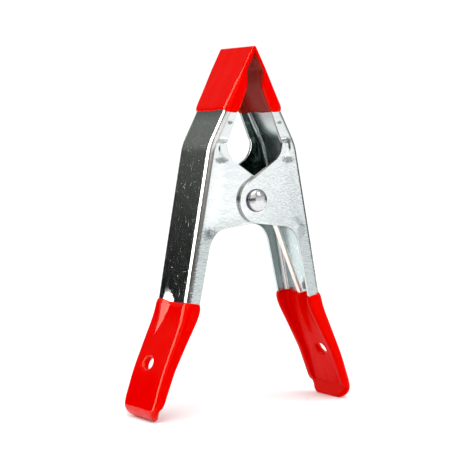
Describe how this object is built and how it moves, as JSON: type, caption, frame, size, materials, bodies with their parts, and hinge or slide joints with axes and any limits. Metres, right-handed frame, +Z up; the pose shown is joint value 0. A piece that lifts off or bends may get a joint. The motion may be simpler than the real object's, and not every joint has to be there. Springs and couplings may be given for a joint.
{
  "type": "spring clamp",
  "caption": "Hand spring clamp: folded steel levers on a riveted pivot, a coiled torsion spring, and red vinyl-dipped jaw tips and handles with hanging holes.",
  "frame": {"origin": "on the standing surface, midway between the two handle ends and in the middle of the pivot's length", "axes": "+Z up from the handle ends to the jaw tips, +X from the left lever to the right one, +Y along the pivot away from the viewer"},
  "size_m": [0.0654, 0.0204, 0.1002],
  "materials": {
    "zinc_steel": "bright zinc plate over drawn sheet, fine scratches",
    "rivet_steel": "bright plated",
    "spring_steel": "plated wire, warm tint",
    "red_vinyl": "glossy dipped PVC"
  },
  "bodies": {
    "left_side": {"left_lever": "zinc_steel", "left_jaw_sleeve": "red_vinyl", "left_handle_sleeve": "red_vinyl", "pivot_rivet": "rivet_steel", "torsion_spring": "spring_steel"},
    "right_side": {"right_lever": "zinc_steel", "right_jaw_sleeve": "red_vinyl", "right_handle_sleeve": "red_vinyl"}
  },
  "joints": [
    {"name": "jaw_pivot", "type": "hinge", "parent": "left_side", "child": "right_side", "pos_m": [0, 0, 0.058], "axis": [0, 1, 0], "range_deg": [0, 45], "stiffness_Nm_per_rad": 0.3, "springref_deg": -91.67, "deforming": ["torsion_spring"]}
  ]
}
